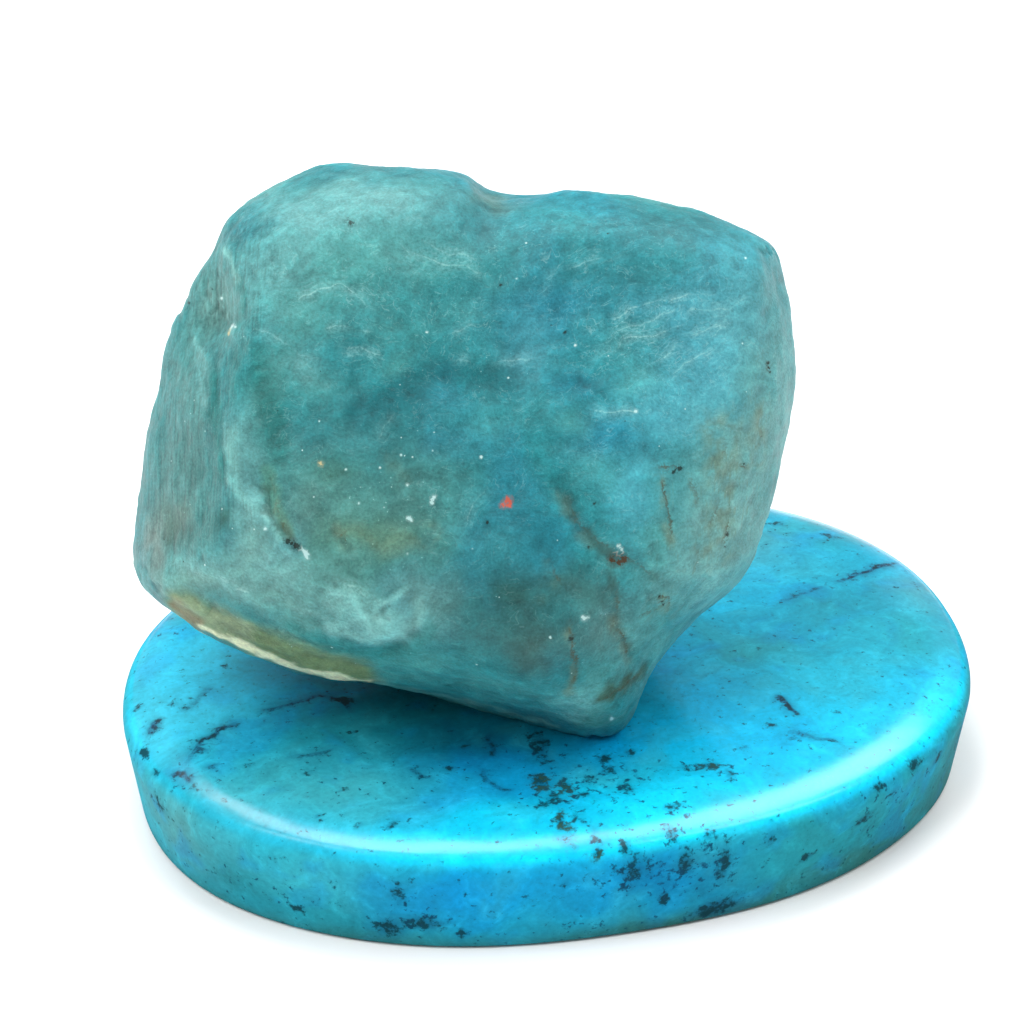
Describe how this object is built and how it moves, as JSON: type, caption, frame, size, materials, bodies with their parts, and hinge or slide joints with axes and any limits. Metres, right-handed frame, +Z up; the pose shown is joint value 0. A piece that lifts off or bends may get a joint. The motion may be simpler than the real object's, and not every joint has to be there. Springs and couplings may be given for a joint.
{
  "type": "raw fluorite on an oval stone base",
  "caption": "Frosted blue-green raw fluorite lump with broken faces, leaning on a flat polished oval base of turquoise-coloured stone.",
  "frame": {"origin": "middle of the oval base's flat underside", "axes": "+Z up, +X along the oval base's long axis; the lump's broad face looks between -Y and -X and up"},
  "size_m": [0.045, 0.035, 0.0324],
  "materials": {
    "fluorite": "frosted, translucent, blue-green with white wisps and brown stains",
    "turquoise_stone": "polished, turquoise blue with dark matrix veins and specks"
  },
  "bodies": {
    "root": {"raw_fluorite": "fluorite", "oval_stone_base": "turquoise_stone"}
  },
  "joints": []
}
